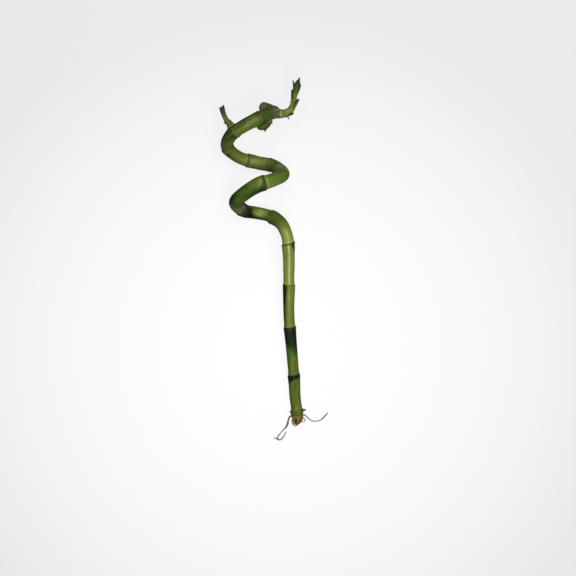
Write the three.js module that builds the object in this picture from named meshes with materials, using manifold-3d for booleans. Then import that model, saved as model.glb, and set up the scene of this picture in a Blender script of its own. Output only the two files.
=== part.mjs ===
// A curly lucky bamboo stalk with roots and cut shoots, lying on its side, in millimetres, +Z up.
// Its length runs along Y with the root end at -Y, and the origin is under the middle of its box.

import * as THREE from 'three';
import { mergeVertices } from 'three/addons/utils/BufferGeometryUtils.js';
import Module from 'manifold-3d';

const wasm = await Module();
wasm.setup();

// Driving dimensions

// Where the stalk's own zero lies, so that the middle of its box is over the origin.
const MIDDLE = [0.15, 0.3, 0];

// The cane's centreline from the root end to the cut end: x, y and height above the surface.
// It rises straight along the shaft, then winds two right-handed turns around a leaning axis.
const CANE_ROUTE = [
  [23.3, -157.2, 6.6], [21, -137.5, 9.1], [19.9, -117.8, 12], [15.8, -69.3, 18.8],
  [14.7, -50.6, 21.4], [14.8, -26.2, 24.7], [14.4, 12.7, 29.5], [11.8, 26.6, 28.6],
  [6.1, 36.8, 21.5], [-4.4, 43.6, 11], [-16.9, 46.7, 5.9], [-29.9, 48.9, 11.5],
  [-38.4, 56.1, 28], [-31.8, 63.3, 45], [-16.5, 72.9, 53.8], [-0.6, 78.7, 50],
  [9, 85, 32], [-0.1, 93.5, 14.5], [-17.4, 97.4, 8.2], [-35, 102.4, 12.5],
  [-47, 112.4, 30], [-42, 123.8, 46], [-29.6, 131.9, 54.2], [-13.5, 140.2, 51.5],
  [-1.5, 145.7, 39], [-1.1, 147.5, 24.5], [-4.8, 150.7, 10.4], [-12.9, 153.9, 2.9],
];

// The cane's nodes, which are ring-shaped leaf scars, from root to tip: the distance along the
// cane, and the cane's radius just below the ring and just above it.
const NODES = [
  { at: 4.8, below: 6.3, above: 5.5 },
  { at: 41.5, below: 5.9, above: 5.4 },
  { at: 90, below: 5.9, above: 5.4 },
  { at: 132.8, below: 5.9, above: 5.4 },
  { at: 174.3, below: 6.2, above: 5.8 },
  { at: 213.5, below: 6.8, above: 6 },
  { at: 250.2, below: 6.6, above: 6.6 },
  { at: 312.6, below: 7.6, above: 6.9 },
  { at: 372.5, below: 6.3, above: 6.8 },
  { at: 396.2, below: 6.7, above: 6.1 },
  { at: 426, below: 6.2, above: 6.1 },
  { at: 456.5, below: 6.6, above: 6.4 },
  { at: 485, below: 6.9, above: 6.4 },
  { at: 510, below: 6.3, above: 5.6 },
];
const BELOW_NODE = 3;
const ABOVE_NODE = 5;
const NODE_RIDGE = 0.5;
const NODE_RIDGE_REACH = 1.1;
const NODE_SWELL = 0.3;
const NODE_SWELL_REACH = 5;
const CANE_END_ROUNDING = 2.4;
const CANE_END_DRAW_IN = 0.85;
const CANE_SIDES = 16;
const RING_STEP = 5;
const RINGS_NEAR_NODE = [-2.4, -1, 0, 1, 2.6];
const RINGS_NEAR_END = [0, 0.5, 1.3, CANE_END_ROUNDING];

// Dormant buds: which node they sit on, the way they face, and how long and how proud they are.
const BUDS = [
  { node: 0, facing: [-1, 0.1, 0.4], length: 2.8, proud: 1.7 },
  { node: 0, facing: [1, 0.2, 0.2], length: 2.8, proud: 4 },
  { node: 4, facing: [1, 0, 0.3], length: 3.4, proud: 0.9 },
  { node: 5, facing: [0, -0.4, 1], length: 3, proud: 0.9 },
  { node: 7, facing: [-0.3, 1, 0.4], length: 3.4, proud: 1 },
  { node: 10, facing: [-0.5, -0.8, 0.3], length: 3.2, proud: 0.9 },
];
const BUD_HALF_WIDTH = 1.4;
const BUD_SINK = 0.6;
const BUD_AHEAD_OF_NODE = 0.3;

// A block larger than the stalk, whose top is the surface that it rests on.
const SURFACE_BLOCK = [400, 600, 40];

// Clearance between pieces of the stalk that grow against each other.
const SEAM = 0.3;

// Shoots: the stem's centreline out of the cane, its girth, and where its bud scale ends.
// Leaf stubs are what the trimming left of the leaves. turn 0 faces up and 90 the stem's right,
// open is how much flatter than the stem the blade grows, and slant how far its cut leans.
const SHOOTS = {
  shoot_top: {
    route: [
      [0.5, 145.7, 32], [4.9, 145.3, 32], [9.9, 145.3, 32.5], [13.9, 146.6, 33],
      [17.4, 150.4, 33.5], [19.1, 154.9, 34], [20.1, 161.9, 34.5], [21.4, 167.9, 35],
      [22.9, 173.9, 36],
    ],
    girth: [[0, 3.8], [14, 4], [17.5, 3.5], [22, 3.1], [27, 2.9], [34, 2.8], [44, 1.6]],
    scale: { from: 3, to: 9, thick: [4.9, 4.3] },
    leaves: [
      { from: 10.5, to: 16.8, turn: 84, lift: 0.9, widths: [4, 4.2, 4], open: 0, slant: 0 },
      { from: 19, to: 29.4, turn: 54, lift: 2.6, widths: [3.6, 3.6, 3.2, 1.6], open: 0.5, slant: 0 },
      { from: 25, to: 37.6, turn: -66, lift: 1.1, widths: [3, 3, 2.8, 1.6], open: 0.4, slant: 0 },
      { from: 34, to: 46.6, turn: -64, lift: 2.4, widths: [2.2, 2.4, 2.2, 1.5], open: 0.3, slant: 0 },
      { from: 30, to: 49.6, turn: 24, lift: 0.7, widths: [3, 4, 4.4, 3.6, 0.5], open: 1.6, slant: 2.6 },
    ],
    spikes: [{ from: [12.4, 143.9, 33], to: [15.2, 139.4, 33.6], thick: 0.85 }],
  },
  shoot_left: {
    route: [
      [-41.2, 127, 47], [-42.8, 132.1, 48.6], [-46.2, 136.7, 50.4], [-48.2, 139.8, 51.2],
      [-50.3, 144.9, 52], [-51.6, 149.4, 52.6],
    ],
    girth: [[0, 3.4], [8, 3], [12, 2.6], [16, 2.4], [24, 2.1]],
    scale: { from: 1.5, to: 7.6, thick: [4.4, 3.9] },
    leaves: [
      { from: 8.2, to: 12.8, turn: -80, lift: 0.4, widths: [3, 2.8, 2.2], open: 0, slant: 0 },
      { from: 7.9, to: 10.6, turn: 70, lift: 0.5, widths: [3, 3, 2.4], open: 0, slant: 0 },
      { from: 12, to: 27, turn: -52, lift: -0.7, widths: [2.6, 2.6, 2.3, 1.9], open: 0.2, slant: 0 },
      { from: 14, to: 28.4, turn: 56, lift: -0.2, widths: [2.6, 2.6, 2.2, 1.8], open: 0.2, slant: 0 },
      { from: 16, to: 27.4, turn: 0, lift: -0.3, widths: [2.2, 2.2, 2, 1.4], open: 0.2, slant: 0 },
    ],
    spikes: [],
  },
  shoot_under: {
    route: [
      [-5, 141.5, 40], [-6, 137.2, 43], [-8.4, 133.4, 46], [-12.2, 131.2, 48],
      [-16.9, 131.7, 48.4],
    ],
    girth: [[0, 3.8], [8, 4], [14, 3.4], [20, 1.8]],
    scale: { from: 4.5, to: 8.5, thick: [4.5, 4.1] },
    leaves: [
      { from: 9, to: 15, turn: -80, lift: 0.5, widths: [3.6, 3.6, 2.4], open: 0.3, slant: 0 },
      { from: 9, to: 18, turn: 60, lift: 0.2, widths: [3.4, 3.4, 2.6], open: 0.3, slant: 0 },
      { from: 11, to: 20.6, turn: -20, lift: 0.2, widths: [3.4, 3.4, 2.6, 1.4], open: 0.4, slant: -1 },
    ],
    spikes: [{ from: [-9.2, 129.2, 47.6], to: [-8.4, 126.1, 48], thick: 0.8 }],
  },
};
const SHOOT_SIDES = 12;
const SHOOT_STEP = 2.5;
const SCALE_SIDES = 14;
const LEAF_THICKNESS = 0.7;
const LEAF_SINK = 0.9;
const SPIKE_SIDES = 6;
const SPIKE_TIP = 0.5;

// Roots: a brown crown over the cane's root end, short roots below it, and long ones whose radius
// is given from their foot to their tip. The short ones lean aside as they curl in.
const CROWN_RADIUS = 6.1;
const CROWN_LENGTH = 3.6;
const CROWN_DROP = 0.8;
const SHORT_ROOT_THICK = [0.85, 0.45];
const ROOT_SIDES = 6;
const ROOT_STEP = 2.4;
const SHORT_ROOTS = 12;
const SHORT_ROOT_CIRCLE = 4.2;
const SHORT_ROOT_BOW = [0.75, 1, 1.02, 0.8, 0.35];
const SHORT_ROOT_LENGTH = 7.4;
const SHORT_ROOT_LENGTH_SPREAD = 0.18;
const SHORT_ROOT_TWIST = 0.5;
const SHORT_ROOT_TWIST_SPREAD = 0.4;
const SHORT_ROOT_LEAN = -3.4;
const WANDER_STEP = 2.4;
const LONG_ROOTS = [
  {
    points: [
      [20.5, -158.4, 5.5], [16.6, -157.6, 5.2], [14.6, -160.4, 3.4], [13.6, -165, 1.6],
      [12, -168.9, 0.7], [8.2, -172.7, 0.5], [3.9, -178.1, 0.5], [3.2, -181, 0.5],
      [6.2, -181.7, 0.5], [8.7, -179.6, 0.5], [10.6, -176.3, 0.5], [11.7, -173.8, 0.5],
    ],
    thick: [1, 0.9, 0.8, 1, 0.95, 0.55, 0.5, 0.6, 0.7, 0.65, 0.55, 0.45],
  },
  {
    points: [
      [25.5, -158, 6], [30, -156.4, 5.4], [32.9, -158.6, 3.2], [36.6, -161.6, 1.4],
      [39.4, -162.9, 0.6], [44.1, -162.6, 0.5], [47.4, -161.3, 0.5], [50.6, -158.3, 0.5],
      [54.1, -154.4, 0.5],
    ],
    thick: [0.75, 0.65, 0.6, 0.5, 0.5, 0.5, 0.6, 0.7, 0.5],
  },
  {
    points: [
      [24.5, -159, 7.5], [28, -159.8, 7], [30.9, -160.6, 5.4], [31, -162.6, 4.2],
      [28.6, -163.5, 4], [26, -162.6, 4.6],
    ],
    thick: [0.65, 0.6, 0.5, 0.5, 0.5, 0.5],
  },
  { points: [[4.6, -181.2, 0.5], [2.2, -180.4, 0.5], [-0.4, -179.9, 0.5]], thick: [0.6, 0.45] },
];

// Colours and sheen
const paint = (color, roughness) => new THREE.MeshStandardMaterial({ color, roughness, metalness: 0 });
const CANE_SKIN = paint(0x5f7a2e, 0.35);
const SHOOT_GREEN = paint(0x4f7327, 0.45);
const SCALE_BROWN = paint(0x8a6a35, 0.75);
const ROOT_BROWN = paint(0x7d6544, 0.8);

// Straight interpolation through pairs of distance and value, level beyond both ends.
function along(pairs, distance) {
  const after = pairs.findIndex(([reach]) => reach >= distance);
  if (after === 0) return pairs[0][1];
  if (after < 0) return pairs[pairs.length - 1][1];
  const [startAt, startValue] = pairs[after - 1];
  const [endAt, endValue] = pairs[after];
  return THREE.MathUtils.mapLinear(distance, startAt, endAt, startValue, endValue);
}

// Even interpolation through a list of values, at a share from 0 to 1 of its length.
function spread(values, share) {
  const pairs = values.map((value, index) => [index / (values.length - 1), value]);
  return along(pairs, share);
}

function curveThrough(points) {
  const curve = new THREE.CatmullRomCurve3(
    points.map((point) => new THREE.Vector3(...point)), false, 'catmullrom', 0.5,
  );
  curve.arcLengthDivisions = points.length * 40;
  return curve;
}

// The place at a distance along a curve, with the way along it, a way out of it nearest to the
// reference, and the way to the side of both. Past either end the curve runs on straight.
function frameAt(curve, distance, reference) {
  const length = curve.getLength();
  const share = THREE.MathUtils.clamp(distance / length, 0, 1);
  const forward = curve.getTangentAt(share);
  const centre = curve.getPointAt(share).addScaledVector(forward, distance - share * length);
  const out = reference.clone().addScaledVector(forward, -reference.dot(forward)).normalize();
  const side = new THREE.Vector3().crossVectors(forward, out);
  return { centre, forward, out, side };
}

function onFrame(frame, outward, sideways) {
  return frame.centre.clone()
    .addScaledVector(frame.out, outward)
    .addScaledVector(frame.side, sideways);
}

// A closed solid from a geometry whose faces all point one way.
function solidOf(geometry) {
  geometry.deleteAttribute('normal');
  geometry.deleteAttribute('uv');
  const merged = mergeVertices(geometry);
  const corners = Array.from(merged.index.array);
  const triangles = [];
  for (let i = 0; i < corners.length; i += 3) {
    const [a, b, c] = corners.slice(i, i + 3);
    if (a !== b && b !== c && c !== a) triangles.push(a, b, c);
  }
  return new wasm.Manifold(new wasm.Mesh({
    numProp: 3,
    vertProperties: Float32Array.from(merged.getAttribute('position').array),
    triVerts: Uint32Array.from(triangles),
  }));
}

function joined(solids) {
  return solids.reduce((whole, solid) => whole.add(solid));
}

// Evenly spaced distances from one to another, both included.
function steps(from, to, step) {
  const count = Math.max(1, Math.round((to - from) / step));
  return Array.from({ length: count + 1 }, (unused, i) => from + ((to - from) * i) / count);
}

// A rod turned to a girth and bent along a curve, with a ring of corners at each distance.
function rod(curve, distances, girth, sides) {
  const first = distances[0];
  const last = distances[distances.length - 1];
  const profile = [
    new THREE.Vector2(0, first),
    ...distances.map((distance) => new THREE.Vector2(girth(distance), distance)),
    new THREE.Vector2(0, last),
  ];
  const geometry = new THREE.LatheGeometry(profile, sides);
  let reference = new THREE.Vector3(0, 0, 1);
  const frames = profile.map((corner) => {
    const frame = frameAt(curve, corner.y, reference);
    reference = frame.out;
    return frame;
  });
  const position = geometry.getAttribute('position');
  for (let i = 0; i < position.count; i += 1) {
    const place = onFrame(frames[i % profile.length], position.getZ(i), position.getX(i));
    position.setXYZ(i, place.x, place.y, place.z);
  }
  return solidOf(geometry);
}

// Cane

const caneCurve = curveThrough(CANE_ROUTE);
const caneLength = caneCurve.getLength();

// The cane's radius between nodes, as pairs of distance and radius.
const caneGirth = NODES.flatMap(({ at, below, above }) => [
  [at - BELOW_NODE, below], [at + ABOVE_NODE, above],
]);

function bell(offset, reach) {
  return Math.exp(-((offset / reach) ** 2));
}

// Each node is a thin ridge, with a wider swelling on its root side.
function caneSkin(distance) {
  const relief = NODES.reduce((sum, { at }) => {
    const ridge = NODE_RIDGE * bell(distance - at, NODE_RIDGE_REACH);
    const swell = NODE_SWELL * bell(distance - at + NODE_SWELL_REACH / 2, NODE_SWELL_REACH);
    return sum + ridge + swell;
  }, 0);
  const toEnd = Math.min(distance, caneLength - distance);
  const rounding = THREE.MathUtils.clamp(1 - toEnd / CANE_END_ROUNDING, 0, 1);
  return (along(caneGirth, distance) + relief) * Math.sqrt(1 - CANE_END_DRAW_IN * rounding ** 2);
}

// Rings close together at the nodes and the rounded ends, and a plain step between them.
function caneRings() {
  const marks = [
    ...RINGS_NEAR_END,
    ...NODES.flatMap(({ at }) => RINGS_NEAR_NODE.map((offset) => at + offset)),
    ...RINGS_NEAR_END.map((offset) => caneLength - offset),
  ].sort((a, b) => a - b);
  return marks.flatMap((mark, i) => {
    const next = marks[i + 1];
    return next === undefined ? [mark] : steps(mark, next, RING_STEP).slice(0, -1);
  });
}

const caneDistances = caneRings();

function caneGrownBy(margin) {
  return rod(caneCurve, caneDistances, (distance) => caneSkin(distance) + margin, CANE_SIDES);
}

// A pointed bud that lies against the cane just above its node.
function bud({ node, facing, length, proud }) {
  const distance = NODES[node].at + length * BUD_AHEAD_OF_NODE;
  const frame = frameAt(caneCurve, distance, new THREE.Vector3(...facing));
  const geometry = new THREE.SphereGeometry(1, 8, 6);
  const basis = new THREE.Matrix4().makeBasis(frame.side, frame.forward, frame.out);
  geometry.scale(BUD_HALF_WIDTH, length / 2, proud + BUD_SINK);
  geometry.applyMatrix4(basis);
  const seat = onFrame(frame, caneSkin(distance) - BUD_SINK, 0);
  geometry.translate(seat.x, seat.y, seat.z);
  return solidOf(geometry);
}

// What lies below the surface that the stalk rests on, which presses it flat where they meet.
const surface = solidOf(
  new THREE.BoxGeometry(...SURFACE_BLOCK).translate(0, 0, -SURFACE_BLOCK[2] / 2),
);

function buildCane() {
  return joined([caneGrownBy(0), ...BUDS.map(bud)]).subtract(surface);
}

// Shoots

const UP = new THREE.Vector3(0, 0, 1);

// What trimming left of a leaf: a curved blade that clasps the stem and lifts away to its cut.
function leafStub(curve, stemGirth, { from, to, turn, lift, widths, open, slant }) {
  const geometry = new THREE.BoxGeometry(2, 1, 1, 6, 6, 1);
  const position = geometry.getAttribute('position');
  const facing = THREE.MathUtils.degToRad(turn);
  for (let i = 0; i < position.count; i += 1) {
    const across = position.getX(i);
    const share = position.getY(i) + 0.5;
    const distance = from + (to - from) * share - slant * across * share ** 2;
    const frame = frameAt(curve, distance, UP);
    const clasp = stemGirth(from) + LEAF_THICKNESS / 2 - LEAF_SINK * (1 - share);
    const spine = clasp + lift * share ** 2;
    const curl = clasp * (1 + open * share);
    const reach = curl + position.getZ(i) * LEAF_THICKNESS;
    const angle = (across * spread(widths, share)) / curl;
    const away = spine - curl + reach * Math.cos(angle);
    const aside = reach * Math.sin(angle);
    const place = onFrame(
      frame,
      away * Math.cos(facing) - aside * Math.sin(facing),
      away * Math.sin(facing) + aside * Math.cos(facing),
    );
    position.setXYZ(i, place.x, place.y, place.z);
  }
  return solidOf(geometry);
}

function spike({ from, to, thick }) {
  const curve = curveThrough([from, to]);
  const length = curve.getLength();
  const thickness = (distance) => thick * THREE.MathUtils.lerp(1, SPIKE_TIP, distance / length);
  return rod(curve, [0, length / 2, length], thickness, SPIKE_SIDES);
}

function buildShoot({ route, girth, scale, leaves, spikes }, cane) {
  const curve = curveThrough(route);
  const stemGirth = (distance) => along(girth, distance);
  const start = scale.to + SEAM;
  const stem = rod(curve, steps(start, curve.getLength(), SHOOT_STEP), stemGirth, SHOOT_SIDES);
  return joined([
    stem,
    ...leaves.map((leaf) => leafStub(curve, stemGirth, leaf)),
    ...spikes.map(spike),
  ]).subtract(cane);
}

// The dry collar of the bud that the shoot broke through, seated on the cane's skin.
function buildScale({ route, scale }, cane) {
  const curve = curveThrough(route);
  const thickness = (distance) => THREE.MathUtils.mapLinear(
    distance, scale.from, scale.to, scale.thick[0], scale.thick[1],
  );
  return rod(curve, steps(scale.from, scale.to, SHOOT_STEP), thickness, SCALE_SIDES).subtract(cane);
}

// Roots

// A short root: it leaves the crown's rim, bows outward and curls in under the crown.
function shortRoot(index) {
  const rootEnd = frameAt(caneCurve, 0, UP);
  const angle = (index / SHORT_ROOTS) * 2 * Math.PI;
  const wander = Math.sin(index * WANDER_STEP);
  const length = SHORT_ROOT_LENGTH * (1 + SHORT_ROOT_LENGTH_SPREAD * wander);
  const twist = SHORT_ROOT_TWIST + SHORT_ROOT_TWIST_SPREAD * wander;
  const points = SHORT_ROOT_BOW.map((bow, i) => {
    const share = i / (SHORT_ROOT_BOW.length - 1);
    const radius = bow * SHORT_ROOT_CIRCLE;
    const swept = angle + share * twist;
    const ring = onFrame(rootEnd, radius * Math.cos(swept), radius * Math.sin(swept));
    ring.addScaledVector(rootEnd.forward, -CROWN_DROP - length * share);
    ring.x += SHORT_ROOT_LEAN * share ** 2;
    return ring.toArray();
  });
  return rootAlong({ points, thick: SHORT_ROOT_THICK });
}

function rootAlong({ points, thick }) {
  const curve = curveThrough(points);
  const length = curve.getLength();
  const thickness = (distance) => spread(thick, distance / length);
  return rod(curve, steps(0, length, ROOT_STEP), thickness, ROOT_SIDES);
}

function buildRoots(cane) {
  const crown = new THREE.SphereGeometry(CROWN_RADIUS, 16, 10);
  crown.scale(1, 1, CROWN_LENGTH / CROWN_RADIUS);
  const rootEnd = frameAt(caneCurve, 0, UP);
  crown.applyMatrix4(new THREE.Matrix4().makeBasis(rootEnd.out, rootEnd.side, rootEnd.forward));
  crown.translate(...rootEnd.centre.addScaledVector(rootEnd.forward, -CROWN_DROP).toArray());
  const shortRoots = Array.from({ length: SHORT_ROOTS }, (unused, index) => shortRoot(index));
  return joined([solidOf(crown), ...shortRoots, ...LONG_ROOTS.map(rootAlong)])
    .subtract(cane)
    .subtract(surface);
}

// The whole stalk

function meshOf(solid, name, material) {
  const { vertProperties, triVerts } = solid.getMesh();
  const geometry = new THREE.BufferGeometry();
  geometry.setAttribute('position', new THREE.BufferAttribute(vertProperties, 3));
  geometry.setIndex(new THREE.BufferAttribute(triVerts, 1));
  const mesh = new THREE.Mesh(geometry, material);
  mesh.name = name;
  return mesh;
}

const group = new THREE.Group();
group.position.set(...MIDDLE);
const clearance = caneGrownBy(SEAM);
group.add(meshOf(buildCane(), 'cane', CANE_SKIN));
group.add(meshOf(buildRoots(clearance), 'roots', ROOT_BROWN));
for (const [name, shoot] of Object.entries(SHOOTS)) {
  group.add(meshOf(buildShoot(shoot, clearance), name, SHOOT_GREEN));
  group.add(meshOf(buildScale(shoot, clearance), `${name}_scale`, SCALE_BROWN));
}

export default group;
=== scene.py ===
"""The looks of a curly lucky bamboo stalk that lies on its side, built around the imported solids."""

import math
from functools import partial

import bmesh
import bpy
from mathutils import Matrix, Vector, noise
from mathutils.geometry import interpolate_bezier


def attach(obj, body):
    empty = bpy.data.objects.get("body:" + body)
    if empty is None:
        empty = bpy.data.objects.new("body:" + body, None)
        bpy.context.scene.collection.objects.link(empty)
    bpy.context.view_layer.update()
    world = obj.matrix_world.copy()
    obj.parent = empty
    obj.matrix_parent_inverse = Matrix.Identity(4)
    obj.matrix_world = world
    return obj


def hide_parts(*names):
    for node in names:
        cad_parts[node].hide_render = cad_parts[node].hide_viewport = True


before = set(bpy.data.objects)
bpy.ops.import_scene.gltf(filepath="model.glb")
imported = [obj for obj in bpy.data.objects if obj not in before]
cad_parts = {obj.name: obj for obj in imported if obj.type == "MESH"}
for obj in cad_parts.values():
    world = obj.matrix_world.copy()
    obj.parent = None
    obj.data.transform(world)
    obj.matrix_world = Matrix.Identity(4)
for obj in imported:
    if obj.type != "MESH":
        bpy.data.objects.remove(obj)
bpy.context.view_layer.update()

bl_info = {
    "name": "Lucky bamboo stalk",
    "version": (1, 0, 0),
    "blender": (4, 5, 0),
    "location": "3D View > Sidebar > Stalk",
    "description": "Builds a curly lucky bamboo stalk with shoots, bud scales and roots",
    "category": "Add Mesh",
}

MM = 0.001
BODY = "root"
UP = Vector((0, 0, 1))

# Where the stalk's own zero lies in the frame, in millimetres, as in the part's source.
MIDDLE = Vector((0.15, 0.3, 0))

# The cane's centreline from the root end to the cut end, in millimetres, as in the part's source.
CANE_ROUTE = [
    (23.3, -157.2, 6.6), (21, -137.5, 9.1), (19.9, -117.8, 12), (15.8, -69.3, 18.8),
    (14.7, -50.6, 21.4), (14.8, -26.2, 24.7), (14.4, 12.7, 29.5), (11.8, 26.6, 28.6),
    (6.1, 36.8, 21.5), (-4.4, 43.6, 11), (-16.9, 46.7, 5.9), (-29.9, 48.9, 11.5),
    (-38.4, 56.1, 28), (-31.8, 63.3, 45), (-16.5, 72.9, 53.8), (-0.6, 78.7, 50),
    (9, 85, 32), (-0.1, 93.5, 14.5), (-17.4, 97.4, 8.2), (-35, 102.4, 12.5),
    (-47, 112.4, 30), (-42, 123.8, 46), (-29.6, 131.9, 54.2), (-13.5, 140.2, 51.5),
    (-1.5, 145.7, 39), (-1.1, 147.5, 24.5), (-4.8, 150.7, 10.4), (-12.9, 153.9, 2.9),
]

# The nodes from root to tip, as in the part's source: the distance along the cane, and its radius
# just below the ring and just above it.
NODES = [
    dict(at=4.8, below=6.3, above=5.5),
    dict(at=41.5, below=5.9, above=5.4),
    dict(at=90, below=5.9, above=5.4),
    dict(at=132.8, below=5.9, above=5.4),
    dict(at=174.3, below=6.2, above=5.8),
    dict(at=213.5, below=6.8, above=6),
    dict(at=250.2, below=6.6, above=6.6),
    dict(at=312.6, below=7.6, above=6.9),
    dict(at=372.5, below=6.3, above=6.8),
    dict(at=396.2, below=6.7, above=6.1),
    dict(at=426, below=6.2, above=6.1),
    dict(at=456.5, below=6.6, above=6.4),
    dict(at=485, below=6.9, above=6.4),
    dict(at=510, below=6.3, above=5.6),
]
BELOW_NODE = 3
ABOVE_NODE = 5
CANE_GIRTH = [
    pair for node in NODES
    for pair in ((node["at"] - BELOW_NODE, node["below"]), (node["at"] + ABOVE_NODE, node["above"]))
]

# The look of each node. rises, by: the side on which the ring runs on toward the tip, and how far.
# line, stain: how dark and how brown the ring is, 0 to 1. dark: depth of the dark green below it,
# 0 to 1, toward shaded, where it reaches over reach, and over far on the other side. soft: how
# gently it fades around the cane, 0 unless given.
NODE_LOOKS = [
    dict(rises=(1, 0, 0), by=0.3, line=0.1, stain=0.4, shaded=(1, 0, 0), reach=3, far=2, dark=0.3),
    dict(rises=(1, 0, 0), by=0.6, line=0.75, stain=0.05, shaded=(-1, 0, 0.2), reach=9, far=4, dark=0.97),
    dict(rises=(1, 0, 0), by=0.3, line=0.75, stain=0, shaded=(0.6, 0, 0.9), reach=36, far=15, dark=1),
    dict(
        rises=(-1, 0, 0), by=0.2, line=0.5, stain=0, shaded=(-1, 0, -0.5), reach=62, far=0, dark=0.97,
        soft=1,
    ),
    dict(
        rises=(1, 0, -0.3), by=1.4, line=0.9, stain=0.1, shaded=(1, 0, -0.8), reach=26, far=0.2, dark=0.85,
        soft=0.5,
    ),
    dict(rises=(0, 1, 0), by=1, line=0.2, stain=0, shaded=(-0.3, -0.8, 0.7), reach=18, far=4, dark=0.58),
    dict(rises=(0, 1, 0), by=0.4, line=0.8, stain=0.75, shaded=(0, -0.4, 1), reach=14, far=3, dark=1),
    dict(rises=(0, 1, 0), by=0.5, line=0.85, stain=0.6, shaded=(0.3, -1, -0.3), reach=20, far=1, dark=0.78),
    dict(rises=(0, 1, 0), by=0.4, line=0.1, stain=0.05, shaded=(0, 0, 1), reach=12, far=4, dark=0.55),
    dict(rises=(0, 1, 0), by=0.4, line=0.12, stain=0.6, shaded=(0, 1, 0.2), reach=10, far=1, dark=0.5),
    dict(rises=(0, -1, 0), by=0.3, line=0.15, stain=0.35, shaded=(-0.6, -1, 0), reach=6, far=1, dark=0.7),
    dict(rises=(1, 0, 0), by=0.3, line=0.35, stain=0.4, shaded=(-1, 0.4, 0), reach=30, far=8, dark=0.74),
    dict(rises=(0, 1, 0), by=0.4, line=0.12, stain=0.4, shaded=(-0.3, 1, 0), reach=30, far=1, dark=0.62),
    dict(rises=(0, 1, 0), by=0.4, line=0.1, stain=0.1, shaded=(0, 0, 1), reach=16, far=8, dark=0.56),
]

# How green the skin is between nodes, 0 pale to 1 near-black: pairs of distance and depth. The paler dip
# around 176 to 186 is a painted highlight, where the bright streak along the shaft runs on.
CANE_DEPTH_AND_PAINTED_HIGHLIGHT = [
    (0, 0.44), (7, 0.5), (12, 0.52), (30, 0.51), (42, 0.52), (60, 0.54), (84, 0.5), (92, 0.4),
    (115, 0.38), (133, 0.34), (136, 0.21), (150, 0.23), (170, 0.3), (176, 0.12), (186, 0.2),
    (193, 0.36), (200, 0.56), (208, 0.52), (214, 0.44), (218, 0.3), (226, 0.28), (236, 0.36), (250, 0.66),
    (262, 0.7), (272, 0.76), (285, 0.7), (296, 0.64), (304, 0.6), (313, 0.28), (318, 0.42),
    (338, 0.42), (346, 0.26), (354, 0.24), (360, 0.58), (366, 0.6), (371, 0.45), (376, 0.4),
    (394, 0.36), (402, 0.38), (416, 0.5), (426, 0.48), (440, 0.54), (452, 0.6), (460, 0.6),
    (475, 0.62), (484, 0.66), (487, 0.68), (503, 0.68), (513, 0.56), (528, 0.55), (538, 0.46),
    (546, 0.64),
]

# Painted shade on the cane's lower side, the side that faces -Y: pairs of distance and how much deeper the
# green is painted there. Below 0 that side is painted lighter instead, as painted light.
CANE_LOWER_SIDE_SHADE = [
    (190, 0), (206, 0.3), (214, 0.5), (234, 0.5), (246, 0.3), (252, 0), (264, -0.25), (286, -0.2),
    (296, 0.08), (308, 0.2), (318, -0.15), (350, -0.12), (360, 0), (452, 0), (458, -0.18),
    (480, -0.18), (486, -0.05), (500, -0.15), (520, 0), (546, 0),
]

# How fresh the green is, 0 yellowish to 1 leafy: pairs of distance and freshness.
CANE_FRESH = [
    (0, 0), (55, 0.05), (66, 0.5), (74, 0.9), (88, 0.9), (92, 0), (186, 0), (202, 0.4),
    (216, 0.25), (240, 0.35), (284, 0.4), (298, 0.45), (312, 0.5), (316, 0.7), (352, 0.7),
    (366, 0.35), (378, 0.05), (400, 0.1), (450, 0.15), (456, 0.05), (484, 0.1), (490, 0.5),
    (500, 0.55), (512, 0.4), (530, 0.5), (546, 0.25),
]

# Soft spots on the skin, some of another colour and some painted highlights and painted shade: where along
# the cane, over what reach, the way they face, how wide they spread around it, 0 to 2, and what they add.
SKIN_SPOTS_AND_PAINTED_LIGHT = [
    dict(at=110, reach=18, facing=(-1, 0, 0.1), wide=0.75, shade=0.4),
    dict(at=204, reach=9, facing=(0.8, -0.1, 0.5), wide=1, shade=0.2),
    # Painted highlight: a paler spot where the skin faces up.
    dict(at=224, reach=5, facing=(0, 0.1, 1), wide=0.5, shade=-0.35),
    dict(at=243, reach=5.5, facing=(0, -0.1, 1), wide=1, shade=0.5),
    dict(at=256, reach=5, facing=(-0.4, -0.8, 0.4), wide=0.8, shade=-0.2),
    dict(at=275, reach=5, facing=(-1, 0.3, 0.5), wide=0.9, shade=0.3),
    # Painted highlight: a small paler spot on the upper face.
    dict(at=302, reach=3, facing=(-0.3, 0.5, 0.8), wide=0.5, shade=-0.15),
    dict(at=352, reach=6, facing=(0.8, -0.2, 0.6), wide=0.6, bloom=0.35),
    dict(at=386, reach=6, facing=(0, 0, 1), wide=0.5, shade=-0.08),
    dict(at=422, reach=4, facing=(-0.8, -0.5, 0.2), wide=0.8, shade=0.35),
    dict(at=436, reach=17, facing=(0.9, 0.2, 0.5), wide=1.1, shade=-0.35, brown=0.3),
    # Painted shade: darker on the side that faces +Y, where the wide lamp lights it.
    dict(at=463, reach=8, facing=(-0.4, 0.9, 0.1), wide=0.5, shade=0.15),
    dict(at=478, reach=6, facing=(-0.2, 0.2, 1), wide=0.5, shade=-0.05),
    dict(at=483, reach=3.5, facing=(-0.4, 0.9, 0.4), wide=1, brown=0.5),
    dict(at=486, reach=2.5, facing=(0.4, -0.9, 0.4), wide=1, brown=0.5),
    dict(at=504, reach=8, facing=(0.3, -0.9, 0.2), wide=0.8, shade=-0.15, bloom=0.2),
    dict(at=508, reach=10, facing=(0.5, 0.8, 0.4), wide=0.9, bloom=0.6),
    dict(at=509, reach=7, facing=(0.5, -0.3, 0.8), wide=0.6, bloom=0.35),
]

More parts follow.
